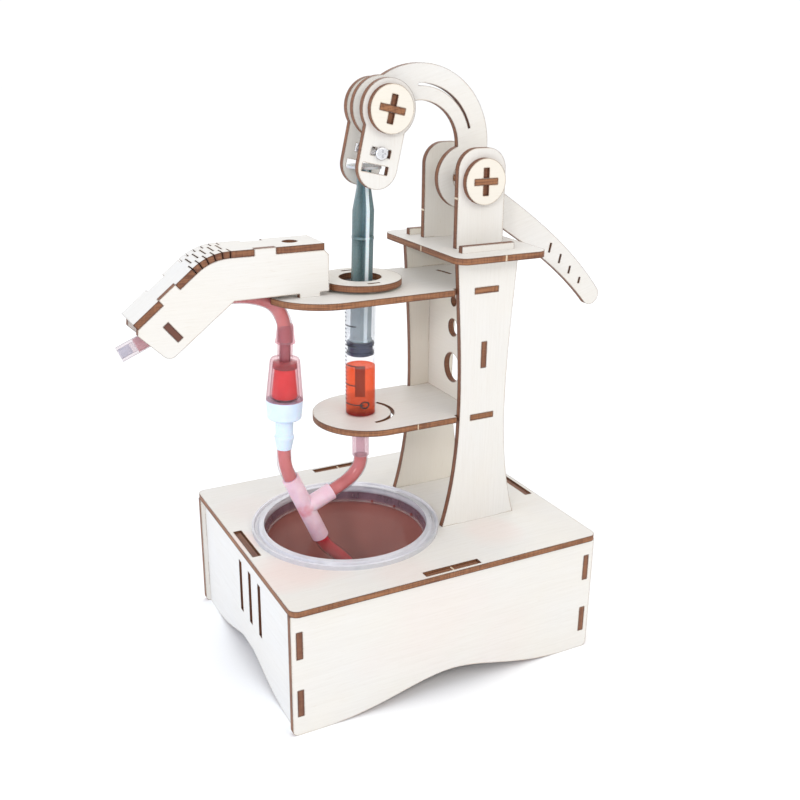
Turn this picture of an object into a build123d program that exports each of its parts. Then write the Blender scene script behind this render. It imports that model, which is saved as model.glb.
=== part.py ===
from build123d import *
from math import atan2, cos, degrees, hypot, radians, sin, tan
import os

# Hand-lever water pump kit in laser-cut plywood, with a syringe as its pump cylinder.
# Millimetres.  +Z is up, the front panel faces -Y, the spout points to -X and the lever's
# tail to +X.  The origin is on the table, under the middle of the pump's overall length:
# the sub-parts are laid out from the middle of the base box, then all moved by SHIFT_X.

# ---- driving dimensions -----------------------------------------------------------------
PLY = 3.0
SHIFT_X = 3.46

BASE_LENGTH = 160.0
BASE_WIDTH = 134.0
BASE_HEIGHT = 64.0
BASE_CORNER = 4.0
PANEL_CORNER = 2.5
SIDE_INSET = 2.0
END_PANEL_X = 76.0
ARCH_RISE = 10.5
FRONT_ARCH_HALF = 66.0
END_ARCH_HALF = 52.0
TOP_TAB = 28.0
TOP_SLOT = 4.0
TOP_TAB_RECESS = 0.8
FINGER_LENGTH = 13.6
FINGER_HEIGHTS = (16.5, 45.8)
SLIT_WIDTH = 3.6
SLIT_LENGTH = 27.6
SLIT_CENTRES = (7.0, -6.0, -19.0)
SLIT_HEIGHT = 37.8

CUP_X = -25.5
CUP_Y = -2.5
CUP_HOLE = 42.5
CUP_RIM = 46.0
CUP_MOUTH = 41.0
CUP_FOOT = 33.0
CUP_BOTTOM = 10.0
CUP_WALL = 0.9

COLUMN_X = 36.5
COLUMN_Y = 26.7
COLUMN_TOP = 197.0
COLUMN_HALF_WIDTHS = (
    (61.0, 21.6), (79.0, 16.9), (100.0, 13.8), (135.0, 12.7), (168.0, 14.2), (197.0, 16.2),
)
LOCK_X = 36.2
SHELF_TAB = 13.0
BRACE_X = 34.5
BRACE_TAB_Z = 150.5
BRACE_HOLES = ((136.6, 7.5), (157.2, 4.5), (170.5, 2.6))

UPPER_SHELF_TOP = 183.4
LOWER_SHELF_TOP = 121.0
SHELF_HALF = 26.3
UPPER_SHELF_END = -35.5
LOWER_SHELF_END = -12.5

TOP_PLATE_X = 38.5
TOP_PLATE_LENGTH = 48.0
TOP_PLATE_WIDTH = 75.2
TOP_PLATE_TOP = COLUMN_TOP + PLY

UPRIGHT_X = 37.4
UPRIGHT_WIDTH = 25.0
UPRIGHT_Y = 17.0
UPRIGHT_TOP = 245.0

LEVER_X = 37.8
LEVER_Z = 230.2
AXLE_WIDTH = 12.5
AXLE_CORNER = hypot(AXLE_WIDTH, PLY) / 2
AXLE_PLAY = 0.08
UPRIGHT_STRIP_RECESS = 1.2
WASHER_R = 10.5
LEVER_DISC_R = 14.7
GOOSE_X = 13.0
GOOSE_Z = 244.7
GOOSE_OUTER = 36.3
GOOSE_INNER = 20.3
GOOSE_SLIT_R = 27.2
CUT_WIDTH = 1.1
GRIP_SLITS = ((89.1, 192.6, 4.8), (95.6, 186.5, 4.6), (102.0, 180.2, 3.9), (108.7, 174.1, 3.3))

LINK_X = -6.3
LINK_Z = 262.3
LINK_TILT = 12.5
LINK_END_R = 13.7
LINK_HEAD_R = 12.9
LINK_HALF_WIDTH = 9.6
LINK_REACH = 25.3
LINK_Y = 9.5
FLANGE_REACH = 26.1
FLANGE_SLOT = 12.8
FLANGE_SLOT_HEIGHT = 3.7
FLANGE_SLOT_SHIFT = -1.3
SCREW_REACH = 19.1
SCREW_SLOT = 9.8
SCREW_SLOT_HEIGHT = 3.6
SCREW_R = 1.45
SCREW_HEAD_R = 3.0
SCREW_HEAD = 1.9
RECESS_LENGTH = 3.4
RECESS_WIDTH = 0.9
NUT_R = 3.1
NUT_HEIGHT = 2.4

SYRINGE_X = -16.0
BARREL_R = 7.2
BARREL_BORE = 6.6
BARREL_BASE = 1.4
BARREL_TOP = UPPER_SHELF_TOP + 1.2
TIP_R = 2.1
PISTON_BOTTOM = 149.8
PISTON_HEIGHT = 7.2
ROD_TILT = 1.4
ROD_HALF = 5.1
ROD_NECK = 3.2
ROD_NECK_Z = 228.0
ROD_FULL_Z = 218.0
RIB = 1.6
THUMB_Z = 237.24
THUMB_R = 7.8
THUMB_THICK = 1.1
COLLAR_R = 19.2
COLLAR_HOLE = 9.8

HOSE_R = 3.45
HOSE_BORE = 2.2
VALVE_X = -55.7
VALVE_Z = 109.3
VALVE_TILT = 2.3
TEE_X = -45.5
TEE_Z = 76.5
TEE_RUN = 113.5
TEE_ARM = 18.6
TEE_BRANCH = 15.0
TEE_R = 4.2
SLEEVE_BOTTOM = 99.0
SLEEVE_TOP = 112.0

SPOUT_HALF = 10.25
SPOUT_BACK = -36.0
SPOUT_TOP = 206.7
SPOUT_BOTTOM = 185.2
SPOUT_SLOPE = 39.0
BEND_START = -81.0
BEND_R = 25.4
SPOUT_END = -123.2
FOOT_X = -45.2
FOOT_LENGTH = 9.8
COVER_TAB = (-70.1, -60.4)
SLOPE_TAB_AT = 14.6
SLOPE_TAB = 9.4
GUIDE_X = -106.9
GUIDE_Z = 174.8
GUIDE_HEIGHT = 15.0
COVER_HOLE_X = -50.2
COVER_HOLE_R = 3.4
KERF_COUNT = 11
KERF_STEP = SPOUT_SLOPE / 9.6
KERF_START = 0.2 * KERF_STEP
KERF_WIDTH = 0.5

# Free hoses: hand-laid route points (x, y, z) from end to end.
OUTLET_ROUTE = [
    (-53.61, 0, 161.26), (-53.27, 0, 169.9), (-58.2, 0, 180.0), (-69.5, 0, 184.3), (-83.0, 0, 185.2),
    (-96.0, 0, 180.8), (-107.8, 0, 173.8), (-117.5, 0, 169.3), (-127.6, 0, 165.0),
]


# ---- small helpers ----------------------------------------------------------------------
def flat(outline, bottom, thickness=PLY):
    """A level plate from an (x, y) outline."""
    return extrude(Plane.XY.offset(bottom) * outline, thickness)


def facing_front(outline, near, thickness=PLY):
    """An upright plate from an (x, z) outline, its front face at y = near."""
    return extrude(Plane.XZ.offset(-(near + thickness)) * outline, thickness)


def facing_side(outline, left, thickness=PLY):
    """An upright plate from a (y, z) outline, its left face at x = left."""
    return extrude(Plane.YZ.offset(left) * outline, thickness)


def box_between(x0, x1, z0, z1):
    """A rectangle in a plate's own outline, from its two corners."""
    return Pos((x0 + x1) / 2, (z0 + z1) / 2) * Rectangle(x1 - x0, z1 - z0)


def arch(half, rise):
    """The cut under a panel: a bell-shaped arch between two feet."""
    curve = Spline((-half, 0), (0, rise), (half, 0), tangents=[(1, 0), (1, 0)])
    return make_face([curve, Line((half, 0), (-half, 0))])


def arc_slit(x, z, radius, start, sweep, width):
    """A narrow slit along an arc."""
    return Pos(x, z) * trace(CenterArc((0, 0), radius, start, sweep), width)


def cross(width=AXLE_WIDTH):
    """The cross-shaped slot that holds a two-strip axle."""
    return Rectangle(width, PLY) + Rectangle(PLY, width)


def revolved(profile):
    """A round part from its (radius, height) half outline."""
    return revolve(Plane.XZ * make_face(Polyline(*profile, close=True)), Axis.Z, 360)


def tube(path, outer, bore):
    """A hollow hose along a path."""
    start = Plane(origin=path @ 0, z_dir=path % 0)
    skin = sweep(start * Circle(outer), path=path)
    return skin - sweep(start * Circle(bore), path=path)


def hose_path(points, name):
    """Straight runs joined by tangent arcs, as large as the shorter run allows."""
    spots = [Vector(*p) for p in points]
    runs = [b - a for a, b in zip(spots, spots[1:])]
    radii = []
    for before, after in zip(runs, runs[1:]):
        turn = radians(before.get_angle(after))
        radii.append(0.45 * min(before.length, after.length) / tan(turn / 2))
    path = FilletPolyline(*points, radius=radii)
    print(name, "length", round(path.length, 1), "arc radii", [round(r, 1) for r in radii])
    return path


# ---- base box ---------------------------------------------------------------------------
def make_base_top():
    panel = RectangleRounded(BASE_LENGTH, BASE_WIDTH, BASE_CORNER)
    panel -= Pos(CUP_X, CUP_Y) * Circle(CUP_HOLE)
    side_y = BASE_WIDTH / 2 - SIDE_INSET - PLY / 2
    for side in (-1, 1):
        panel -= Pos(side * END_PANEL_X, 0) * Rectangle(TOP_SLOT, TOP_TAB)
        panel -= Pos(0, side * side_y) * Rectangle(TOP_TAB + 1, TOP_SLOT)
        panel -= Pos(COLUMN_X, side * (COLUMN_Y - PLY / 2)) * Rectangle(TOP_TAB - 4, PLY)
    return flat(panel, BASE_HEIGHT - PLY)


def make_base_side(near):
    wall_top = BASE_HEIGHT - PLY
    panel = box_between(-BASE_LENGTH / 2, BASE_LENGTH / 2, 0, wall_top)
    panel = fillet(panel.vertices().group_by(Axis.Y)[0], PANEL_CORNER)
    panel += box_between(-TOP_TAB / 2, TOP_TAB / 2, wall_top, BASE_HEIGHT - TOP_TAB_RECESS)
    panel -= arch(FRONT_ARCH_HALF, ARCH_RISE)
    for side in (-1, 1):
        for z in FINGER_HEIGHTS:
            panel -= Pos(side * END_PANEL_X, z) * Rectangle(PLY, FINGER_LENGTH)
    return facing_front(panel, near)


def make_base_end(left, slits):
    wall_top = BASE_HEIGHT - PLY
    inner = BASE_WIDTH / 2 - SIDE_INSET - PLY
    panel = box_between(-inner, inner, 0, wall_top)
    panel += box_between(-TOP_TAB / 2 + 0.5, TOP_TAB / 2 - 0.5, wall_top, BASE_HEIGHT - TOP_TAB_RECESS)
    panel -= arch(END_ARCH_HALF, ARCH_RISE)
    for z in FINGER_HEIGHTS:
        panel += Pos(0, z) * Rectangle(2 * (inner + PLY), FINGER_LENGTH)
    for y in slits:
        panel -= Pos(y, SLIT_HEIGHT) * Rectangle(SLIT_WIDTH, SLIT_LENGTH)
    return facing_side(panel, left)


def make_cup():
    rim = BASE_HEIGHT
    profile = [
        (0, CUP_BOTTOM), (CUP_FOOT, CUP_BOTTOM), (CUP_MOUTH, rim - 2), (CUP_MOUTH, rim), (CUP_RIM, rim),
        (CUP_RIM, rim + 2.2), (CUP_RIM - 1.0, rim + 2.2), (CUP_RIM - 1.6, rim + 1.1),
        (CUP_MOUTH + 2.4, rim + 1.1), (CUP_MOUTH + 1.6, rim + 2.4), (CUP_MOUTH - CUP_WALL, rim + 2.4),
        (CUP_MOUTH - CUP_WALL, rim - 2), (CUP_FOOT - CUP_WALL, CUP_BOTTOM + CUP_WALL),
        (0, CUP_BOTTOM + CUP_WALL),
    ]
    return Pos(CUP_X, CUP_Y, 0) * revolved(profile)


# ---- column, shelves and uprights -------------------------------------------------------
def column_edge(side):
    """One waisted edge of a column plate."""
    points = [(COLUMN_X + side * half, z) for z, half in COLUMN_HALF_WIDTHS]
    return Spline(*points)


def make_column_plate(near):
    left = column_edge(-1)
    right = column_edge(1)
    outline = make_face([left, Line(left @ 1, right @ 1), right, Line(right @ 0, left @ 0)])
    outline -= box_between(COLUMN_X - 40, COLUMN_X + 40, BASE_HEIGHT - 2 * PLY, BASE_HEIGHT)
    foot = TOP_TAB / 2 - 2
    outline += box_between(COLUMN_X - foot, COLUMN_X + foot, BASE_HEIGHT - PLY, BASE_HEIGHT)
    outline += box_between(LOCK_X - TOP_TAB / 2, LOCK_X + TOP_TAB / 2, COLUMN_TOP, COLUMN_TOP + 2 * PLY)
    for shelf_top in (UPPER_SHELF_TOP, LOWER_SHELF_TOP):
        outline -= Pos(LOCK_X, shelf_top - PLY / 2) * Rectangle(SHELF_TAB, PLY)
    outline -= Pos(BRACE_X + PLY / 2, BRACE_TAB_Z) * Rectangle(PLY, SHELF_TAB)
    return facing_front(outline, near)


def make_column_brace():
    inner = COLUMN_Y - PLY
    panel = box_between(-inner, inner, LOWER_SHELF_TOP, UPPER_SHELF_TOP - PLY)
    panel += Pos(0, BRACE_TAB_Z) * Rectangle(2 * COLUMN_Y, SHELF_TAB)
    for z, radius in BRACE_HOLES:
        panel -= Pos(0, z) * Circle(radius)
    return facing_side(panel, BRACE_X)


def shelf_outline(end_x, neck_x):
    """A shelf with a round free end, a neck between the column plates and locking tabs."""
    inner = COLUMN_Y - PLY
    outline = Pos(end_x, 0) * Circle(SHELF_HALF)
    outline += box_between(end_x, neck_x, -SHELF_HALF, SHELF_HALF)
    outline += box_between(neck_x, COLUMN_X + 11.5, -inner, inner)
    outline += Pos(LOCK_X, 0) * Rectangle(SHELF_TAB, 2 * COLUMN_Y)
    return outline


def make_upper_shelf():
    outline = shelf_outline(UPPER_SHELF_END, 19.6)
    outline -= Pos(SYRINGE_X, 0) * Circle(BARREL_R + 0.1)
    outline -= arc_slit(SYRINGE_X, 0, 50.5, 4, 12, 1.6)
    outline -= SlotOverall(28, 8.4).moved(Location((-63.5, 0)))
    for side in (-1, 1):
        outline -= Pos(FOOT_X, side * (SPOUT_HALF - PLY / 2)) * Rectangle(FOOT_LENGTH, PLY)
    return flat(outline, UPPER_SHELF_TOP - PLY)


def make_lower_shelf():
    outline = shelf_outline(LOWER_SHELF_END, 22.6)
    outline -= Pos(SYRINGE_X, 0) * Circle(TIP_R + 0.3)
    outline -= arc_slit(SYRINGE_X, 0, 15.5, -88, 122, 1.7)
    return flat(outline, LOWER_SHELF_TOP - PLY)


def make_top_plate():
    plate = Pos(TOP_PLATE_X, 0) * RectangleRounded(TOP_PLATE_LENGTH, TOP_PLATE_WIDTH, 6)
    for side in (-1, 1):
        plate -= Pos(LOCK_X, side * (COLUMN_Y - PLY / 2)) * Rectangle(TOP_TAB, PLY)
        plate -= Pos(UPRIGHT_X, side * (UPRIGHT_Y - PLY / 2)) * Rectangle(SHELF_TAB, PLY)
    return flat(plate, COLUMN_TOP)


def make_upright(near):
    half = UPRIGHT_WIDTH / 2
    body = box_between(UPRIGHT_X - half, UPRIGHT_X + half, TOP_PLATE_TOP, UPRIGHT_TOP)
    body = fillet(body.vertices().group_by(Axis.Y)[-1], 10)
    body += box_between(UPRIGHT_X - SHELF_TAB / 2, UPRIGHT_X + SHELF_TAB / 2, COLUMN_TOP, TOP_PLATE_TOP)
    body -= Pos(LEVER_X, LEVER_Z) * cross()
    return facing_front(body, near)


# ---- axles and washers ------------------------------------------------------------------
def make_axle_strips(x, z, tilt, half_length):
    """Two plywood strips with half-lap slots, pushed together into a cross-shaped axle."""
    place = Pos(x, 0, z) * Rot(0, -tilt, 0)
    level = Box(AXLE_WIDTH, 2 * half_length, PLY)
    level -= Pos(0, half_length / 2, 0) * Box(PLY, half_length, PLY)
    upright = Box(PLY, 2 * (half_length - UPRIGHT_STRIP_RECESS), AXLE_WIDTH)
    upright -= Pos(0, -half_length / 2, 0) * Box(PLY, half_length, PLY)
    return place * level, place * upright


def make_washer(x, z, tilt, near):
    disc = Circle(WASHER_R) - cross()
    return facing_front(Pos(x, z) * Rot(0, 0, tilt) * disc, near)


# ---- lever and link ---------------------------------------------------------------------
def make_lever():
    neck = Circle(GOOSE_OUTER) - Circle(GOOSE_INNER)
    wedge = Polyline((0, 0), (90, -52), (90, 90), (-98, 90), close=True)
    outline = Pos(GOOSE_X, GOOSE_Z) * (neck & make_face(wedge))
    outline += Pos(LINK_X, LINK_Z) * Circle(LINK_END_R)
    outline += Pos(LEVER_X, LEVER_Z) * Circle(LEVER_DISC_R)
    upper = Spline((47.0, 229.8), (70.0, 214.6), (96.0, 194.6), (121.4, 168.0))
    lower = Spline((113.3, 161.8), (103.3, 172.2), (83.9, 188.4), (59.0, 205.2), (42.0, 216.5))
    tip = ThreePointArc(upper @ 1, (119.5, 161.2), lower @ 0)
    outline += make_face([upper, tip, lower, Line(lower @ 1, upper @ 0)])
    outline -= Pos(LEVER_X, LEVER_Z) * Circle(AXLE_CORNER + AXLE_PLAY)
    outline -= Pos(LINK_X, LINK_Z) * Circle(AXLE_CORNER + AXLE_PLAY)
    outline -= arc_slit(GOOSE_X, GOOSE_Z, GOOSE_SLIT_R, 16, 76, CUT_WIDTH)
    for x, z, length in GRIP_SLITS:
        outline -= Pos(x, z) * Rot(0, 0, -12) * Rectangle(CUT_WIDTH, length)
    return facing_front(outline, -PLY / 2)


def make_link_plate(near):
    shank = box_between(-LINK_HALF_WIDTH, LINK_HALF_WIDTH, -LINK_REACH, 0)
    plate = Circle(LINK_HEAD_R) + shank + Pos(0, -LINK_REACH) * Circle(LINK_HALF_WIDTH)
    plate -= cross()
    plate -= Pos(0, 0.3 - SCREW_REACH) * Rectangle(SCREW_SLOT, SCREW_SLOT_HEIGHT)
    plate -= Pos(FLANGE_SLOT_SHIFT, -FLANGE_REACH) * Rectangle(FLANGE_SLOT, FLANGE_SLOT_HEIGHT)
    return facing_front(Pos(LINK_X, LINK_Z) * Rot(0, 0, -LINK_TILT) * plate, near)


def on_link(part, reach, y):
    """Place a part whose axis is Y at a distance down the link from its pivot."""
    x = LINK_X - reach * sin(radians(LINK_TILT))
    z = LINK_Z - reach * cos(radians(LINK_TILT))
    return Pos(x, y, z) * Rot(90, 0, 0) * part


def make_link_screw():
    low = (Align.CENTER, Align.CENTER, Align.MIN)
    head = Cylinder(SCREW_HEAD_R, SCREW_HEAD, align=low)
    head = fillet(head.edges().group_by(Axis.Z)[-1], 0.9)
    recess = Rectangle(RECESS_LENGTH, RECESS_WIDTH) + Rectangle(RECESS_WIDTH, RECESS_LENGTH)
    head -= Pos(0, 0, SCREW_HEAD - 0.8) * extrude(recess, 1.0)
    length = 2 * LINK_Y + 3.4
    shank = Pos(0, 0, -length) * Cylinder(SCREW_R, length, align=low)
    return on_link(head + shank, SCREW_REACH, -LINK_Y)


def make_link_nut():
    nut = extrude(RegularPolygon(NUT_R, 6) - Circle(SCREW_R + 0.05), NUT_HEIGHT)
    return on_link(nut, SCREW_REACH, LINK_Y + NUT_HEIGHT)


# ---- syringe ----------------------------------------------------------------------------
def make_barrel():
    floor = LOWER_SHELF_TOP
    shoulder = floor + BARREL_BASE
    profile = [
        (1.0, SLEEVE_TOP - 5), (TIP_R, SLEEVE_TOP - 5), (TIP_R, floor), (BARREL_R, floor),
        (BARREL_R, BARREL_TOP), (BARREL_BORE, BARREL_TOP), (BARREL_BORE, shoulder + 0.8), (1.0, shoulder),
    ]
    flange = SlotOverall(28, 15, rotation=90) - Circle(BARREL_R)
    body = revolved(profile) + flat(flange, UPPER_SHELF_TOP, BARREL_TOP - UPPER_SHELF_TOP)
    return Pos(SYRINGE_X, 0, 0) * body


def make_piston():
    top = PISTON_HEIGHT
    seal = BARREL_BORE - 0.04
    profile = [
        (0, 0), (seal - 0.8, 0.6), (seal, 1.0), (seal, 2.2), (seal - 0.6, 2.6), (seal - 0.6, 4.8),
        (seal, 5.2), (seal, 6.6), (seal - 0.5, top), (2.9, top), (2.9, 3.2), (0, 3.2),
    ]
    return Pos(SYRINGE_X, 0, PISTON_BOTTOM) * revolved(profile)


def make_plunger_rod():
    seat = PISTON_HEIGHT + 0.2
    reach = THUMB_Z - PISTON_BOTTOM
    low = (Align.CENTER, Align.CENTER, Align.MIN)
    rod = Pos(0, 0, 3.6) * Cylinder(2.4, seat - 3.6, align=low)
    rod += Pos(0, 0, seat) * Cylinder(5.4, 1.2, align=low)
    full = ROD_FULL_Z - PISTON_BOTTOM
    neck = ROD_NECK_Z - PISTON_BOTTOM
    edge = [(ROD_HALF, seat + 1), (ROD_HALF, full), (ROD_NECK, neck), (ROD_NECK, reach)]
    outline = make_face(Polyline(*edge, *[(-x, z) for x, z in reversed(edge)], close=True))
    for plane in (Plane.XZ, Plane.YZ):
        rod += extrude(plane * outline, RIB / 2, both=True)
    for step in (0.3, 0.6):
        rod += Pos(0, 0, seat + step * (reach - seat)) * Cylinder(ROD_HALF, 1.0, align=low)
    rod += Pos(0, 0, reach) * Cylinder(THUMB_R, THUMB_THICK)
    return Pos(SYRINGE_X, 0, PISTON_BOTTOM) * Rot(0, ROD_TILT, 0) * rod


def make_collar():
    ring = Circle(COLLAR_R) - Circle(COLLAR_HOLE)
    for side in (-1, 1):
        ring -= Pos(0, side * 14.4) * Rectangle(6, 1.3)
    return Pos(SYRINGE_X, 0, 0) * flat(ring, BARREL_TOP)


# ---- valves, tee and hoses --------------------------------------------------------------
def on_valve(part):
    """Place a part of the outlet valve, which leans a little to the right."""
    return Pos(VALVE_X, 0, VALVE_Z) * Rot(0, VALVE_TILT, 0) * part


def make_valve_base():
    return on_valve(revolved([
        (1.6, 0), (3.5, 0), (3.7, 1.0), (4.65, 5.6), (4.65, 6.4), (4.2, 7.2), (4.2, 15.3), (7.4, 15.3),
        (8.0, 16.0), (8.55, 24.5), (5.2, 24.5), (5.2, 20.2), (1.6, 20.2),
    ]))


def make_valve_housing():
    return on_valve(revolved([
        (5.2, 22.0), (5.2, 24.5), (8.6, 24.5), (6.9, 43.2), (6.3, 44.2), (3.45, 44.4), (3.45, 52.0),
        (2.6, 52.0), (2.6, 42.8), (5.6, 42.6), (7.0, 26.2), (6.6, 25.5), (3.4, 24.9), (3.4, 22.0),
    ]))


def make_valve_disc():
    return on_valve(Pos(0, 0, 20.3) * Cylinder(4.2, 0.7, align=(Align.CENTER, Align.CENTER, Align.MIN)))


def tee_end(angle, length):
    """The point at the end of a tee arm, in the plane y = 0."""
    return (TEE_X + length * cos(radians(angle)), 0, TEE_Z + length * sin(radians(angle)))


def make_tee():
    """Three round arms: the run, up to the valve and down to the cup, and the branch to the syringe."""
    arms = []
    bores = []
    for angle, length in ((TEE_RUN, TEE_ARM), (TEE_RUN - 180, TEE_ARM), (TEE_RUN - 90, TEE_BRANCH)):
        along = Line((TEE_X, 0, TEE_Z), tee_end(angle, length))
        start = Plane(origin=along @ 0, z_dir=along % 0)
        arms.append(extrude(start * Circle(TEE_R), length))
        bores.append(extrude(start * Circle(HOSE_BORE), length))
    return arms[0] + arms[1] + arms[2] - bores[0] - bores[1] - bores[2]


def make_riser_hose():
    top = on_valve(Pos(0, 0, 0)).position
    foot = tee_end(TEE_RUN, TEE_ARM)
    bend = tee_end(TEE_RUN, TEE_ARM + 7.8)
    points = [(top.X, 0, top.Z), bend, foot]
    return tube(hose_path(points, "riser_hose"), HOSE_R, HOSE_BORE)


def make_branch_hose():
    start = tee_end(TEE_RUN - 90, TEE_BRANCH)
    bend = tee_end(TEE_RUN - 90, TEE_BRANCH + 9.5)
    points = [start, bend, (-17.6, 0, 91.6), (SYRINGE_X, 0, 95.6), (SYRINGE_X, 0, SLEEVE_BOTTOM)]
    return tube(hose_path(points, "branch_hose"), HOSE_R, HOSE_BORE)


def make_tip_sleeve():
    profile = [(TIP_R, SLEEVE_BOTTOM), (4.1, SLEEVE_BOTTOM), (4.1, SLEEVE_TOP), (TIP_R, SLEEVE_TOP)]
    return Pos(SYRINGE_X, 0, 0) * revolved(profile)


def inlet_points():
    """From the tee's lower arm down into the cup, with a slight sag."""
    start = tee_end(TEE_RUN - 180, TEE_ARM)
    bend = tee_end(TEE_RUN - 180, TEE_ARM + 6.0)
    return [start, bend, (-27.6, 0, 46.2), (-21.4, 0, 38.6), (-18.6, 0, 30.6)]


def make_inlet_hose():
    return tube(hose_path(inlet_points(), "inlet_hose"), HOSE_R, HOSE_BORE)


def on_inlet(part):
    """Place a part of the foot valve, whose axis follows the end of the inlet hose."""
    x0, _, z0 = inlet_points()[-2]
    x1, _, z1 = inlet_points()[-1]
    lean = degrees(atan2(x1 - x0, z0 - z1))
    return Pos(x1, 0, z1) * Rot(0, 180 - lean, 0) * part


def make_foot_valve():
    return on_inlet(revolved([
        (1.6, 0), (3.0, 0), (3.0, 3.0), (6.0, 4.0), (6.0, 11.0), (3.4, 12.0), (3.4, 14.0), (1.6, 14.0),
        (1.6, 10.4), (4.6, 10.4), (4.6, 7.6), (1.6, 5.0),
    ]))


def make_foot_disc():
    return on_inlet(Pos(0, 0, 9.6) * Cylinder(4.2, 0.7, align=(Align.CENTER, Align.CENTER, Align.MIN)))


# ---- spout ------------------------------------------------------------------------------
def spout_line(drop):
    """The bent top line of the spout, a given depth under the cover's top."""
    level = Line((SPOUT_BACK - 2, SPOUT_TOP - drop), (BEND_START, SPOUT_TOP - drop))
    bend = JernArc(level @ 1, (-1, 0), BEND_R - drop, SPOUT_SLOPE)
    reach = (bend @ 1).X - SPOUT_END - drop * sin(radians(SPOUT_SLOPE))
    slope = Line(bend @ 1, (bend @ 1) + (bend % 1) * (reach / cos(radians(SPOUT_SLOPE))))
    return level, bend, slope


def make_spout_side(near, tab_drop):
    level, bend, slope = spout_line(PLY)
    tip = (-109.0, 162.2)
    rest = Polyline(slope @ 1, (-121.6, 174.9), tip, (-79.8, SPOUT_BOTTOM), (SPOUT_BACK, SPOUT_BOTTOM))
    back = Polyline(rest @ 1, (SPOUT_BACK, SPOUT_TOP - PLY - 2), level @ 0)
    side = make_face([level, bend, slope, rest, back])
    corner = side.vertices().sort_by_distance((*tip, 0))[0]
    side = fillet(corner, 4)
    foot = FOOT_LENGTH / 2
    side += box_between(FOOT_X - foot, FOOT_X + foot, UPPER_SHELF_TOP - PLY, SPOUT_BOTTOM)
    side += box_between(*COVER_TAB, SPOUT_TOP - PLY - 1, SPOUT_TOP - tab_drop)
    side += slope_tab(slope, tab_drop)
    side -= Pos(GUIDE_X, GUIDE_Z) * Rot(0, 0, SPOUT_SLOPE - 90) * Rectangle(SLOPE_TAB, PLY)
    return facing_front(side, near)


def slope_tab(slope, drop):
    """A tab that stands up from the sloping top edge through the cover."""
    middle = (slope @ 0) + (slope % 0) * SLOPE_TAB_AT
    height = PLY + 1 - drop
    place = Pos(middle.X, middle.Y) * Rot(0, 0, SPOUT_SLOPE)
    return place * Pos(0, height / 2 - 1) * Rectangle(SLOPE_TAB, height)


def make_spout_cover():
    """The cover, its bend a row of kerf slits that lets the flat sheet curve."""
    level, bend, slope = spout_line(PLY / 2)
    profile = trace(Wire([level, bend, slope]), PLY)
    cover = extrude(Plane.XZ.offset(-SPOUT_HALF) * profile, 2 * SPOUT_HALF)
    tabs = box_between(*COVER_TAB, SPOUT_TOP - 2 * PLY, SPOUT_TOP + PLY)
    tabs += slope_tab(spout_line(PLY)[2], 0)
    for near in (-SPOUT_HALF, SPOUT_HALF - PLY):
        cover -= facing_front(tabs, near)
    cover -= Pos(COVER_HOLE_X, 0, SPOUT_TOP) * Cylinder(COVER_HOLE_R, 4 * PLY)
    centre = Vector(BEND_START, 0, SPOUT_TOP - BEND_R)
    for index in range(KERF_COUNT):
        turn = index * KERF_STEP - KERF_START
        place = Pos(*centre) * Rot(0, -turn, 0) * Pos(0, 0, BEND_R)
        if index % 2:
            cover -= place * Box(KERF_WIDTH, 9.0, 3 * PLY)
        else:
            for side in (-1, 1):
                cover -= place * Pos(0, side * SPOUT_HALF, 0) * Box(KERF_WIDTH, 11.0, 3 * PLY)
    return cover


def make_spout_guide():
    """The cross plate near the spout's end, with the hole that holds the hose."""
    inner = SPOUT_HALF - PLY
    plate = Rectangle(GUIDE_HEIGHT, 2 * inner) + Rectangle(SLOPE_TAB, 2 * SPOUT_HALF)
    plate -= Pos(0.3, 0) * Circle(HOSE_R + 0.5)
    place = Pos(GUIDE_X, 0, GUIDE_Z) * Rot(0, 90 - SPOUT_SLOPE, 0) * Pos(0, 0, -PLY / 2)
    return place * extrude(plate, PLY)


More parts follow.
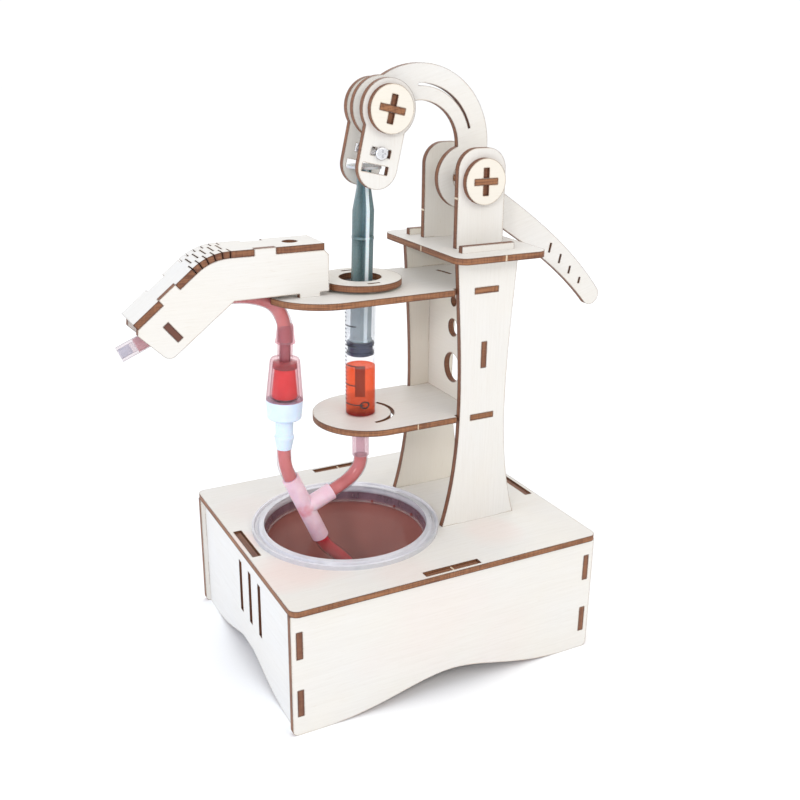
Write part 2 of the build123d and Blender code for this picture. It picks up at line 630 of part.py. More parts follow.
# ---- all sub-parts ----------------------------------------------------------------------
def all_parts():
    side_y = BASE_WIDTH / 2 - SIDE_INSET
    end_x = END_PANEL_X + PLY / 2
    main_axle = make_axle_strips(LEVER_X, LEVER_Z, 0, UPRIGHT_Y + PLY)
    link_axle = make_axle_strips(LINK_X, LINK_Z, -LINK_TILT, LINK_Y + PLY)
    return {
        "base_top_panel": make_base_top(),
        "base_front_panel": make_base_side(-side_y),
        "base_back_panel": make_base_side(side_y - PLY),
        "base_left_panel": make_base_end(-end_x, SLIT_CENTRES),
        "base_right_panel": make_base_end(end_x - PLY, ()),
        "water_cup": make_cup(),
        "column_front_plate": make_column_plate(-COLUMN_Y),
        "column_back_plate": make_column_plate(COLUMN_Y - PLY),
        "column_brace": make_column_brace(),
        "upper_shelf": make_upper_shelf(),
        "lower_shelf": make_lower_shelf(),
        "column_top_plate": make_top_plate(),
        "front_upright": make_upright(-UPRIGHT_Y),
        "rear_upright": make_upright(UPRIGHT_Y - PLY),
        "main_axle_level_strip": main_axle[0],
        "main_axle_upright_strip": main_axle[1],
        "main_front_washer": make_washer(LEVER_X, LEVER_Z, 0, -UPRIGHT_Y - PLY),
        "main_rear_washer": make_washer(LEVER_X, LEVER_Z, 0, UPRIGHT_Y),
        "lever_plate": make_lever(),
        "link_front_plate": make_link_plate(-LINK_Y),
        "link_rear_plate": make_link_plate(LINK_Y - PLY),
        "link_axle_level_strip": link_axle[0],
        "link_axle_upright_strip": link_axle[1],
        "link_front_washer": make_washer(LINK_X, LINK_Z, -LINK_TILT, -LINK_Y - PLY),
        "link_rear_washer": make_washer(LINK_X, LINK_Z, -LINK_TILT, LINK_Y),
        "link_screw": make_link_screw(),
        "link_nut": make_link_nut(),
        "syringe_barrel": make_barrel(),
        "syringe_piston": make_piston(),
        "plunger_rod": make_plunger_rod(),
        "syringe_collar": make_collar(),
        "outlet_valve_base": make_valve_base(),
        "outlet_valve_housing": make_valve_housing(),
        "outlet_valve_disc": make_valve_disc(),
        "tee_connector": make_tee(),
        "tip_sleeve": make_tip_sleeve(),
        "foot_valve_body": make_foot_valve(),
        "foot_valve_disc": make_foot_disc(),
        "outlet_hose": tube(hose_path(OUTLET_ROUTE, "outlet_hose"), HOSE_R, HOSE_BORE),
        "riser_hose": make_riser_hose(),
        "branch_hose": make_branch_hose(),
        "inlet_hose": make_inlet_hose(),
        "spout_front_side": make_spout_side(-SPOUT_HALF, 0),
        "spout_rear_side": make_spout_side(SPOUT_HALF - PLY, 1.4),
        "spout_cover": make_spout_cover(),
        "spout_hose_guide": make_spout_guide(),
    }


os.makedirs("parts", exist_ok=True)
for node, shape in all_parts().items():
    export_step(Pos(SHIFT_X, 0, 0) * shape, f"parts/{node}.step")
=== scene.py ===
from math import cos, pi, radians, sin

import bpy
import bmesh
from mathutils import Matrix, Vector


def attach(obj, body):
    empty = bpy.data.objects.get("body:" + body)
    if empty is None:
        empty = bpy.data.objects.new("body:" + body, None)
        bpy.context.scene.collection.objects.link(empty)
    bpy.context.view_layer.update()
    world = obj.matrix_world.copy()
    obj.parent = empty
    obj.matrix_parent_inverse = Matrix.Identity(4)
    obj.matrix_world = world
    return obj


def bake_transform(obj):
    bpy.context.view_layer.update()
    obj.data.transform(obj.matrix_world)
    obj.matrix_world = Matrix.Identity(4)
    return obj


# Hand-lever water pump kit: materials, liquids, printed scale, hose ends and studio round
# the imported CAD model. Metres, in the shared frame: +Z up, front panel to -Y, spout to -X.

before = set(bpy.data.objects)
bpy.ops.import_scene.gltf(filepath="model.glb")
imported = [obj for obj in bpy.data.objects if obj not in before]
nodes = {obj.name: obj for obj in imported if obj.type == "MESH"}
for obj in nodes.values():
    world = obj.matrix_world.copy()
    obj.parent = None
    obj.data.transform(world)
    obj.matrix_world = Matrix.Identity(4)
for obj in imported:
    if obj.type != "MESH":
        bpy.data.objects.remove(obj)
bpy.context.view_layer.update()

MM = 0.001
SHIFT_X = 3.46 * MM
SYRINGE_X = -16.0 * MM + SHIFT_X
CUP_X = -25.5
CUP_Y = -2.5
CUP_CENTRE = (CUP_X * MM + SHIFT_X, CUP_Y * MM)
VALVE_FOOT = Vector((-55.7 * MM + SHIFT_X, 0, 109.3 * MM))
VALVE_TILT = radians(2.3)
TEE_X = -45.5
TEE_Z = 76.5
TEE_RUN = radians(113.5)
TEE_ARM = 18.6
TEE_BRANCH = 15.0
LINK_TILT = radians(12.5)
CUP_LEVEL = 57.6
THUMB_Z = 235.5 * MM
PISTON_Z = 149.8 * MM
PLUNGER_LEAN = 0.0244


def at(x, y, z):
    """A point of the part's layout, given in millimetres from the middle of the base."""
    return Vector((x * MM + SHIFT_X, y * MM, z * MM))


# ---- camera and studio ------------------------------------------------------------------
CAMERA_PLACE = (-0.2058, -0.4067, 0.2909)
CAMERA_AZIMUTH = radians(-27.84)
CAMERA_ELEVATION = radians(19.97)
CAMERA_ROLL = radians(0.69)
LENS = 44.81
SENSOR = 36.0


def make_camera():
    azimuth, elevation, roll = CAMERA_AZIMUTH, CAMERA_ELEVATION, CAMERA_ROLL
    right = Vector((cos(azimuth), sin(azimuth), 0))
    back = Vector((sin(azimuth) * cos(elevation), -cos(azimuth) * cos(elevation), sin(elevation)))
    up = back.cross(right)
    rolled_right = cos(roll) * right + sin(roll) * up
    rolled_up = back.cross(rolled_right)
    data = bpy.data.cameras.new("camera")
    data.lens = LENS
    data.sensor_width = SENSOR
    data.clip_start = 0.01
    data.clip_end = 20.0
    camera = bpy.data.objects.new("camera", data)
    bpy.context.scene.collection.objects.link(camera)
    turn = Matrix((rolled_right, rolled_up, back)).transposed()
    camera.matrix_world = Matrix.Translation(CAMERA_PLACE) @ turn.to_4x4()
    bpy.context.scene.camera = camera


def area_light(name, place, target, size, power, colour):
    data = bpy.data.lights.new(name, "AREA")
    data.shape = "DISK"
    data.size = size
    data.energy = power
    data.color = colour
    lamp = bpy.data.objects.new(name, data)
    bpy.context.scene.collection.objects.link(lamp)
    lamp.location = place
    lamp.rotation_euler = (Vector(place) - Vector(target)).to_track_quat("Z", "Y").to_euler()


def make_studio():
    scene = bpy.context.scene
    scene.view_settings.view_transform = "Standard"
    world = bpy.data.worlds.new("studio")
    world.use_nodes = True
    world.node_tree.nodes["Background"].inputs["Color"].default_value = (0.985, 0.992, 1.0, 1)
    world.node_tree.nodes["Background"].inputs["Strength"].default_value = 1.07
    scene.world = world
    middle = (0, 0, 0.12)
    area_light("key", (0.45, -1.0, 0.9), middle, 0.6, 2.4, (1.0, 0.96, 0.91))
    area_light("cool_fill", (-1.1, -0.15, 0.45), middle, 0.7, 3.0, (0.42, 0.62, 1.0))
    area_light("back", (0.5, 1.0, 0.8), middle, 0.8, 1.6, (1.0, 0.99, 0.97))
    area_light("glint", (-0.75, -0.75, 0.62), middle, 0.16, 2.2, (1.0, 1.0, 1.0))

    mesh = bpy.data.meshes.new("floor")
    shape = bmesh.new()
    bmesh.ops.create_circle(shape, cap_ends=True, segments=128, radius=6.0)
    shape.to_mesh(mesh)
    shape.free()
    floor = bpy.data.objects.new("floor", mesh)
    scene.collection.objects.link(floor)
    look = Look("floor_paper")
    speckle = look.noise(look.object_coordinates(), 900.0, 2.0)
    tone = look.ramp(speckle, ((0.3, (0.955, 0.955, 0.955)), (0.7, (0.97, 0.97, 0.97))))
    look.surface_inputs(colour=tone, roughness=0.9)
    mesh.materials.append(look.material)


# ---- a short way to write node materials ------------------------------------------------
class Look:
    """One procedural material, built socket by socket."""

    def __init__(self, name):
        self.material = bpy.data.materials.new(name)
        self.material.use_nodes = True
        self.tree = self.material.node_tree
        self.surface = self.tree.nodes["Principled BSDF"]

    def add(self, kind, inputs=(), **settings):
        made = self.tree.nodes.new(kind)
        for key, value in settings.items():
            setattr(made, key, value)
        for key, value in dict(inputs).items():
            self.feed(made.inputs[key], value)
        return made

    def feed(self, socket, value):
        if isinstance(value, bpy.types.NodeSocket):
            self.tree.links.new(value, socket)
        elif isinstance(value, tuple) and len(value) == 3 and socket.type == "RGBA":
            socket.default_value = (*value, 1)
        else:
            socket.default_value = value

    def object_coordinates(self):
        return self.add("ShaderNodeTexCoord").outputs["Object"]

    def object_normal(self):
        return self.add("ShaderNodeTexCoord").outputs["Normal"]

    def maths(self, operation, first, second=0.0):
        return self.add("ShaderNodeMath", {0: first, 1: second}, operation=operation).outputs[0]

    def dot(self, first, second):
        made = self.add("ShaderNodeVectorMath", {0: first, 1: second}, operation="DOT_PRODUCT")
        return made.outputs["Value"]

    def distance(self, first, second):
        made = self.add("ShaderNodeVectorMath", {0: first, 1: second}, operation="DISTANCE")
        return made.outputs["Value"]

    def mix(self, share, first, second):
        return self.add("ShaderNodeMixShader", {0: share, 1: first, 2: second}).outputs["Shader"]

    def finish(self, shader):
        self.feed(self.tree.nodes["Material Output"].inputs["Surface"], shader)

    def times(self, vector, factors):
        made = self.add("ShaderNodeVectorMath", {0: vector, 1: factors}, operation="MULTIPLY")
        return made.outputs["Vector"]

    def noise(self, vector, scale, detail=3.0, roughness=0.55, distortion=0.0):
        made = self.add("ShaderNodeTexNoise", {
            "Vector": vector, "Scale": scale, "Detail": detail, "Roughness": roughness,
            "Distortion": distortion})
        return made.outputs["Fac"]

    def span(self, value, low, high, to_low=0.0, to_high=1.0):
        made = self.add("ShaderNodeMapRange", {
            "Value": value, "From Min": low, "From Max": high, "To Min": to_low, "To Max": to_high})
        return made.outputs["Result"]

    def ramp(self, value, stops):
        made = self.add("ShaderNodeValToRGB", {"Fac": value})
        band = made.color_ramp
        while len(band.elements) < len(stops):
            band.elements.new(1.0)
        for element, (place, colour) in zip(band.elements, stops):
            element.position = place
            element.color = (*colour, 1)
        return made.outputs["Color"]

    def blend(self, share, first, second, mode="MIX"):
        made = self.add("ShaderNodeMix", data_type="RGBA", blend_type=mode)
        self.feed(made.inputs["Factor"], share)
        self.feed(made.inputs[6], first)
        self.feed(made.inputs[7], second)
        return made.outputs[2]

    def bump(self, height, strength, distance):
        made = self.add("ShaderNodeBump", {"Height": height, "Strength": strength, "Distance": distance})
        self.feed(self.surface.inputs["Normal"], made.outputs["Normal"])

    def surface_inputs(self, colour=None, roughness=None, alpha=None, **plain):
        names = {"Base Color": colour, "Roughness": roughness, "Alpha": alpha}
        for key, value in names.items():
            if value is not None:
                self.feed(self.surface.inputs[key], value)
        for key, value in plain.items():
            self.feed(self.surface.inputs[key.replace("_", " ")], value)


# ---- plywood ----------------------------------------------------------------------------
PALE = (0.715, 0.700, 0.676)
GRAIN = (0.682, 0.662, 0.634)
CREAM_AND_SHADE = (0.74, 0.672, 0.555)
CHAR = (0.040, 0.015, 0.013)
EDGE_LIGHT = (0.33, 0.145, 0.062)
EDGE_DARK = (0.15, 0.056, 0.024)
EDGE_BURNT = (0.105, 0.036, 0.028)
SCORCH = (0.62, 0.40, 0.19)
BAND = (0.70, 0.675, 0.635)
PORE = (0.50, 0.39, 0.27)
STAIN = (0.80, 0.52, 0.45)
SCORCH_REACH = 1.3 * MM


def plywood(name, across, grain, cream_and_shade=0.0, burnt=0.3, stains=()):
    """Laser-cut basswood ply: pale grained faces, charred brown edges and scorched rims.
    across runs through the sheet and grain along its fibres; the cream amount warms the faces, partly the
    wood's own cream tone and partly painted shade on sheets that sit in shade;
    burnt darkens the edges; stains are (centre, radius, strength) marks of pink water."""
    look = Look(name)
    across = Vector(across).normalized()
    grain = Vector(grain).normalized()
    side = across.cross(grain)
    here = look.object_coordinates()
    local = look.add("ShaderNodeCombineXYZ", {
        "X": look.dot(here, tuple(grain)), "Y": look.dot(here, tuple(side)),
        "Z": look.dot(here, tuple(across)),
    }).outputs["Vector"]

    fibres = look.noise(look.times(local, (45, 1100, 300)), 1.0, 4.0, 0.6, 0.4)
    bands = look.noise(look.times(local, (7, 95, 40)), 1.0, 2.0, 0.5, 0.8)
    clouds = look.noise(local, 28.0, 2.0)
    pores = look.noise(look.times(local, (160, 2600, 600)), 1.0, 1.0)
    face = look.ramp(fibres, ((0.32, GRAIN), (0.62, PALE)))
    face = look.blend(look.span(bands, 0.35, 0.7, 0.0, 0.3), face, BAND)
    # Painted shade: the sheet's cream amount is set higher on sheets that sit in shade, warming their faces;
    # the cloudy spread above it is the wood's own tone.
    face = look.blend(look.span(clouds, 0.3, 0.75, cream_and_shade, cream_and_shade + 0.22), face, CREAM_AND_SHADE)
    face = look.blend(look.span(pores, 0.66, 0.74, 0.0, 0.16), face, PORE)

    facing = look.maths("ABSOLUTE", look.dot(look.object_normal(), tuple(across)))
    is_face = look.span(facing, 0.66, 0.74)

    rounded = look.add("ShaderNodeBevel", {"Radius": SCORCH_REACH}, samples=6).outputs["Normal"]
    plain = look.add("ShaderNodeNewGeometry").outputs["Normal"]
    near_cut = look.dot(rounded, plain)
    smoke = look.noise(local, 75.0, 2.0)
    smoky = look.span(smoke, 0.38, 0.68, 0.06, 0.75)
    warm_rim = look.maths("MULTIPLY", look.span(near_cut, 0.995, 0.80), smoky)
    dark_rim = look.span(near_cut, 0.84, 0.74, 0.0, 0.85)
    face = look.blend(warm_rim, face, SCORCH)
    face = look.blend(dark_rim, face, CHAR)
    for centre, radius, strength in stains:
        apart = look.distance(here, tuple(centre))
        wander = look.maths("ADD", apart, look.span(clouds, 0.2, 0.8, -0.5 * radius, 0.5 * radius))
        soaked = look.span(wander, radius, 0.35 * radius, 0.0, strength)
        face = look.blend(soaked, face, STAIN)

    layers = look.noise(look.times(local, (70, 70, 1700)), 1.0, 2.0)
    laser = look.noise(look.times(local, (1500, 1500, 130)), 1.0, 2.0)
    lined = look.maths("MULTIPLY", layers, look.maths("ADD", laser, 0.45))
    cut = look.ramp(lined, ((0.30, EDGE_DARK), (0.62, EDGE_LIGHT)))
    cut = look.blend(burnt, cut, EDGE_BURNT)
    cut = look.blend(look.span(near_cut, 0.97, 0.80, 0.0, 0.92), cut, CHAR)
    colour = look.blend(is_face, cut, face)

    rough = look.span(fibres, 0.3, 0.7, 0.62, 0.5)
    look.surface_inputs(colour=colour, roughness=rough, Specular_IOR_Level=0.35)
    ridges = look.maths("MULTIPLY", laser, look.span(is_face, 0.0, 1.0, 0.6, 0.0))
    relief = look.maths("ADD", look.maths("MULTIPLY", fibres, 0.6), ridges)
    look.bump(relief, 0.16, 0.15 * MM)
    return look.material


# ---- plastics, rubber, metal and liquids ------------------------------------------------
MILKY = (0.72, 0.74, 0.78)


def clear_plastic(name, tint, rim_tint, veil_share, roughness=0.05, veil_colour=MILKY, zones=(), rim_from=0.55):
    """Thin clear plastic: tinted see-through, darker where it turns away, with a mirror gloss
    and a diffuse veil that drifts along the moulding's flow: a little milkiness on most parts, and on the cup
    a dark mauve painted shade with a painted reflection. zones are (low, high, share, colour): from one
    height to the next the veil grows to a share of another colour."""
    look = Look(name)
    here = look.object_coordinates()
    flow = look.noise(look.times(here, (160, 160, 40)), 1.0, 2.0)
    specks = look.noise(here, 2400.0, 2.0)
    grazing = look.add("ShaderNodeLayerWeight", {"Blend": 0.35}).outputs["Facing"]
    passed = look.ramp(grazing, ((rim_from, tint), (0.97, rim_tint)))
    clear = look.add("ShaderNodeBsdfTransparent", {"Color": passed}).outputs["BSDF"]
    satin = look.span(specks, 0.3, 0.7, roughness, roughness + 0.06)
    gloss = look.add("ShaderNodeBsdfGlossy", {"Color": (1.0, 1.0, 1.0), "Roughness": satin}).outputs["BSDF"]
    turning = look.add("ShaderNodeLayerWeight", {"Blend": 0.5}).outputs["Facing"]
    mirror = look.span(look.maths("POWER", turning, 4.0), 0.0, 1.0, 0.012, 0.45)
    shell = look.mix(mirror, clear, gloss)
    brighter = tuple(min(1.0, 1.1 * part) for part in veil_colour)
    colour = look.ramp(flow, ((0.3, veil_colour), (0.7, brighter)))
    veil = look.span(flow, 0.3, 0.7, 0.6 * veil_share, veil_share)
    for low, high, share, other in zones:
        inside = look.span(look.dot(here, (0, 0, 1)), low, high)
        colour = look.blend(inside, colour, other)
        outside = look.maths("MULTIPLY", veil, look.maths("SUBTRACT", 1.0, inside))
        within = look.maths("MULTIPLY", inside, look.span(flow, 0.3, 0.7, 0.9 * share, share))
        veil = look.maths("ADD", outside, within)
    look.surface_inputs(colour=colour, roughness=look.span(specks, 0.3, 0.7, 0.2, 0.3))
    look.finish(look.mix(veil, shell, look.surface.outputs["BSDF"]))
    look.bump(flow, 0.10, 0.2 * MM)
    return look.material


def solid_plastic(name, low, high, roughness, translucence=0.0):
    """Moulded plastic with faint flow marks and a fine satin grain."""
    look = Look(name)
    here = look.object_coordinates()
    flow = look.noise(here, 130.0, 3.0)
    satin = look.noise(here, 3200.0, 2.0)
    look.surface_inputs(colour=look.ramp(flow, ((0.3, low), (0.7, high))),
                        roughness=look.span(satin, 0.3, 0.7, roughness, roughness + 0.1))
    look.surface.inputs["Subsurface Weight"].default_value = translucence
    look.surface.inputs["Subsurface Scale"].default_value = 3 * MM
    look.bump(satin, 0.06, 0.1 * MM)
    return look.material


def liquid(name, passed, deep, bright, body, fade=None):
    """Dyed water: light passes through tinted, and body is the share that it scatters back.
    fade is (axis, low, high, colour): the scattered colour turns to that one along an axis."""
    look = Look(name)
    here = look.object_coordinates()
    swirl = look.noise(look.times(here, (110, 110, 70)), 1.0, 3.0, 0.5, 0.6)
    colour = look.ramp(swirl, ((0.3, deep), (0.72, bright)))
    if fade is not None:
        axis, low, high, other = fade
        colour = look.blend(look.span(look.dot(here, axis), low, high), colour, other)
    sheen = look.span(swirl, 0.3, 0.7, 0.06, 0.12)
    look.surface_inputs(colour=colour, roughness=sheen, Specular_IOR_Level=0.35)
    clear = look.add("ShaderNodeBsdfTransparent", {"Color": (*passed, 1)}).outputs["BSDF"]
    share = look.span(swirl, 0.3, 0.7, 0.9 * body, min(1.0, 1.1 * body))
    look.finish(look.mix(share, clear, look.surface.outputs["BSDF"]))
    look.bump(swirl, 0.05, 0.2 * MM)
    return look.material


def steel():
    look = Look("bright_steel")
    here = look.object_coordinates()
    scratches = look.noise(look.times(here, (4200, 300, 4200)), 1.0, 3.0)
    tone = look.ramp(scratches, ((0.3, (0.60, 0.60, 0.62)), (0.7, (0.86, 0.86, 0.88))))
    look.surface_inputs(colour=tone, roughness=look.span(scratches, 0.3, 0.7, 0.16, 0.3), Metallic=1.0)
    look.bump(scratches, 0.12, 0.05 * MM)
    return look.material


def rubber():
    look = Look("piston_rubber")
    here = look.object_coordinates()
    grain = look.noise(here, 1800.0, 4.0)
    dust = look.noise(here, 260.0, 2.0)
    tone = look.ramp(dust, ((0.35, (0.008, 0.011, 0.035)), (0.75, (0.022, 0.028, 0.072))))
    look.surface_inputs(colour=tone, roughness=look.span(grain, 0.3, 0.7, 0.3, 0.5))
    look.bump(grain, 0.2, 0.05 * MM)
    return look.material


def ink():
    look = Look("scale_ink")
    here = look.object_coordinates()
    wear = look.noise(here, 1400.0, 3.0)
    tone = look.ramp(wear, ((0.4, (0.012, 0.012, 0.016)), (0.75, (0.05, 0.045, 0.05))))
    look.surface_inputs(colour=tone, roughness=look.span(wear, 0.3, 0.7, 0.35, 0.6))
    return look.material


# ---- mesh helpers -----------------------------------------------------------------------
def piece(name, mesh, body, material):
    made = bpy.data.objects.new(name, mesh)
    bpy.context.scene.collection.objects.link(made)
    mesh.materials.append(material)
    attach(made, body)


def smooth(mesh, limit=35.0):
    for face in mesh.polygons:
        face.use_smooth = True
    mesh.set_sharp_from_angle(angle=radians(limit))


def turned(name, profile, place, tilt=0.0, segments=72):
    """A mesh of revolution from (radius, height) pairs in millimetres, closed on its axis."""
    shape = bmesh.new()
    rings = []
    for radius, height in profile:
        if radius == 0:
            rings.append([shape.verts.new((0, 0, height * MM))])
            continue
        rings.append([
            shape.verts.new((radius * MM * cos(turn), radius * MM * sin(turn), height * MM))
            for turn in (2 * pi * step / segments for step in range(segments))])
    for low, high in zip(rings, rings[1:]):
        for step in range(segments):
            after = (step + 1) % segments
            corners = [
                low[step % len(low)], low[after % len(low)], high[after % len(high)], high[step % len(high)]]
            shape.faces.new(list(dict.fromkeys(corners)))
    bmesh.ops.recalc_face_normals(shape, faces=shape.faces)
    mesh = bpy.data.meshes.new(name)
    shape.to_mesh(mesh)
    shape.free()
    mesh.transform(Matrix.Translation(place) @ Matrix.Rotation(tilt, 4, "Y"))
    smooth(mesh)
    return mesh


def hose_core(name, route, radius, material):
    """Water inside a hose: a round core along the same route as the hose."""
    data = bpy.data.curves.new(name, "CURVE")
    data.dimensions = "3D"
    spline = data.splines.new("NURBS")
    spline.points.add(len(route) - 1)
    for point, (x, y, z) in zip(spline.points, route):
        point.co = (*at(x, y, z), 1)
    spline.order_u = 3
    spline.use_endpoint_u = True
    data.resolution_u = 12
    data.bevel_depth = radius * MM
    data.bevel_resolution = 8
    data.use_fill_caps = True
    made = bpy.data.objects.new(name, data)
    bpy.context.scene.collection.objects.link(made)
    data.materials.append(material)
    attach(made, "root")


def along_tee(angle, distance):
    """A point on the tee's arms, in layout millimetres."""
    return (TEE_X + distance * cos(angle), 0, TEE_Z + distance * sin(angle))


make_camera()
make_studio()

# ---- materials on the CAD nodes ---------------------------------------------------------
X, Y, Z = (1, 0, 0), (0, 1, 0), (0, 0, 1)
TILTED_UP = (sin(-LINK_TILT), 0, cos(LINK_TILT))
TILTED_X = (cos(LINK_TILT), 0, sin(LINK_TILT))
STAINS = (
    (at(-64, -34, 64), 26 * MM, 0.34), (at(-76, 1, 64), 12 * MM, 0.30), (at(-20, -56, 64), 20 * MM, 0.16),
    (at(36, -40, 64), 16 * MM, 0.18), (at(-62, 34, 64), 18 * MM, 0.10),
)
FRONT_STAINS = ((at(-10, -65, 40), 34 * MM, 0.10), (at(30, -65, 20), 26 * MM, 0.07))
# Node, direction through the sheet, direction of the grain, cream amount (partly painted shade), burnt edges,
# stains.
PLY_SHEETS = (
    # The larger cream amounts, on sheets that sit in shade such as the column's back plate, the brace and the
    # washers, are painted shade.
    ("base_top_panel", Z, X, 0.10, 0.12, STAINS),
    ("base_front_panel", Y, X, 0.06, 0.25, FRONT_STAINS),
    ("base_back_panel", Y, X, 0.15, 0.25, ()),
    ("base_left_panel", X, Y, 0.0, 0.55, ()),
    ("base_right_panel", X, Y, 0.12, 0.45, ()),
    ("column_front_plate", Y, Z, 0.05, 0.45, ()),
    ("column_back_plate", Y, Z, 0.5, 0.45, ()),
    ("column_brace", X, Y, 0.45, 0.35, ()),
    ("upper_shelf", Z, X, 0.08, 0.05, ()),
    ("lower_shelf", Z, X, 0.08, 0.05, ()),
    ("column_top_plate", Z, X, 0.06, 0.15, ()),
    ("front_upright", Y, Z, 0.05, 0.4, ()),
    ("rear_upright", Y, Z, 0.2, 0.4, ()),
    ("main_axle_level_strip", Z, X, 0.3, 0.1, ()),
    ("main_axle_upright_strip", X, Z, 0.3, 0.35, ()),
    ("main_front_washer", Y, X, 0.55, 0.45, ()),
    ("main_rear_washer", Y, X, 0.4, 0.4, ()),
    ("lever_plate", Y, (0.9, 0, 0.25), 0.04, 0.35, ()),
    ("link_front_plate", Y, Z, 0.05, 0.35, ()),
    ("link_rear_plate", Y, Z, 0.2, 0.35, ()),
    ("link_axle_level_strip", TILTED_UP, TILTED_X, 0.3, 0.1, ()),
    ("link_axle_upright_strip", TILTED_X, TILTED_UP, 0.3, 0.35, ()),
    ("link_front_washer", Y, X, 0.5, 0.45, ()),
    ("link_rear_washer", Y, X, 0.4, 0.4, ()),
    ("syringe_collar", Z, Y, 0.3, 0.2, ()),
    ("spout_front_side", Y, X, 0.08, 0.4, ()),
    ("spout_rear_side", Y, X, 0.2, 0.4, ()),
    ("spout_cover", Z, X, 0.08, 0.35, ()),
    ("spout_hose_guide", (-0.777, 0, -0.629), Y, 0.3, 0.85, ()),
)


def dress(node, material):
    mesh = nodes[node].data
    if not mesh.materials:
        mesh.materials.append(material)
    for index in range(len(mesh.materials)):
        mesh.materials[index] = material


for node, across, grain, cream_and_shade, burnt, stains in PLY_SHEETS:
    dress(node, plywood(f"ply_{node}", across, grain, cream_and_shade, burnt, stains))

CUP_ZONES = (
    (59.5 * MM, 56.0 * MM, 1.0, (0.58, 0.325, 0.285)), (62.6 * MM, 63.8 * MM, 0.52, (0.90, 0.92, 0.96)),
)
# The cup's wall above the water carries a nearly opaque dark mauve veil: painted shade of the dark box
# interior seen through it, with a painted reflection of the red water.
dress("water_cup", clear_plastic(
    "cup_plastic", (0.94, 0.90, 0.92), (0.66, 0.64, 0.70), 0.92, 0.05, (0.21, 0.125, 0.150), CUP_ZONES))
dress("syringe_barrel", clear_plastic(
    "barrel_plastic", (0.975, 0.978, 0.985), (0.62, 0.64, 0.70), 0.012, 0.05, (0.72, 0.74, 0.78),
    ((157.0 * MM, 159.0 * MM, 0.17, (0.72, 0.77, 0.83)),)))
dress("outlet_valve_housing", clear_plastic(
    "valve_plastic", (0.94, 0.82, 0.835), (0.50, 0.25, 0.28), 0.03, rim_from=0.28))
dress("foot_valve_body", clear_plastic("foot_valve_plastic", (0.90, 0.86, 0.88), (0.6, 0.55, 0.58), 0.3))
dress("outlet_valve_base", solid_plastic("valve_white", (0.58, 0.68, 0.82), (0.64, 0.75, 0.90), 0.28, 0.2))
for disc, name in (("outlet_valve_disc", "disc_silicone"), ("foot_valve_disc", "foot_disc_silicone")):
    dress(disc, solid_plastic(name, (0.62, 0.60, 0.56), (0.70, 0.68, 0.64), 0.5, 0.2))
dress("tip_sleeve", clear_plastic(
    "sleeve_plastic", (0.92, 0.80, 0.82), (0.66, 0.52, 0.56), 0.35, 0.2, (0.62, 0.46, 0.52)))
dress("syringe_piston", rubber())
dress("link_screw", steel())
dress("link_nut", steel())
for hose, veil_share in (("outlet_hose", 0.17), ("riser_hose", 0.12), ("branch_hose", 0.12), ("inlet_hose", 0.05)):
    dress(hose, clear_plastic(
        f"vinyl_{hose}", (0.93, 0.90, 0.905), (0.42, 0.36, 0.40), veil_share, 0.10, (0.66, 0.60, 0.65),
        rim_from=0.35))


def plunger_look():
    """Grey-green plastic with a painted highlight: the front-facing ridge of the front rib is drawn paler, as
    if lit; the thumb flange is paler too.
    """
    look = Look("plunger_plastic")
    here = look.object_coordinates()
    parts = look.add("ShaderNodeSeparateXYZ", {"Vector": here})
    flow = look.noise(look.times(here, (260, 260, 45)), 1.0, 3.0)
    satin = look.noise(here, 3200.0, 2.0)
    tone = look.ramp(flow, ((0.3, (0.095, 0.150, 0.158)), (0.7, (0.160, 0.232, 0.242))))
    # Painted highlight: the faces of the front rib that face the front, and its front edge, are drawn pale
    # grey where light would catch them.
    ridge = look.span(look.dot(look.object_normal(), (0, -1, 0)), 0.6, 0.9)
    outer = look.span(parts.outputs["Y"], -1.4 * MM, -2.2 * MM)
    along = look.dot(here, (1, 0, -PLUNGER_LEAN))
    beside = look.maths("ABSOLUTE", look.maths("SUBTRACT", along, SYRINGE_X - PISTON_Z * PLUNGER_LEAN))
    on_rib = look.span(beside, 1.2 * MM, 0.85 * MM)
    crest = look.span(parts.outputs["Y"], -3.9 * MM, -4.7 * MM, 0.0, 0.55)
    pale = look.maths("MAXIMUM", look.maths("MULTIPLY", ridge, outer), crest)
    painted_highlight = look.maths("MULTIPLY", on_rib, pale)
    tone = look.blend(painted_highlight, tone, (0.60, 0.68, 0.70))
    tone = look.blend(look.span(parts.outputs["Z"], THUMB_Z, THUMB_Z + 1.3 * MM), tone, (0.50, 0.51, 0.52))
    look.surface_inputs(colour=tone, roughness=look.span(satin, 0.3, 0.7, 0.22, 0.34))
    look.surface.inputs["Subsurface Weight"].default_value = 0.2
    look.surface.inputs["Subsurface Scale"].default_value = 2 * MM
    look.bump(satin, 0.06, 0.1 * MM)
    return look.material


dress("plunger_rod", plunger_look())


def tee_look():
    """Frosted plastic, pinker at the crossing where more water shows through."""
    look = Look("tee_frosted")
    here = look.object_coordinates()
    apart = look.distance(here, tuple(at(TEE_X, 0, TEE_Z)))
    cloud = look.noise(look.times(here, (220, 220, 220)), 1.0, 3.0)
    wander = look.maths("ADD", apart, look.span(cloud, 0.2, 0.8, -1.5 * MM, 1.5 * MM))
    milky = look.ramp(cloud, ((0.3, (0.80, 0.53, 0.62)), (0.7, (0.88, 0.66, 0.73))))
    colour = look.blend(look.span(wander, 2.5 * MM, 5.5 * MM, 0.85, 0.0), milky, (0.80, 0.20, 0.23))
    look.surface_inputs(colour=colour, roughness=look.span(cloud, 0.3, 0.7, 0.3, 0.42), alpha=0.9)
    look.surface.inputs["Subsurface Weight"].default_value = 0.25
    look.surface.inputs["Subsurface Scale"].default_value = 2 * MM
    look.bump(cloud, 0.08, 0.2 * MM)
    return look.material


dress("tee_connector", tee_look())

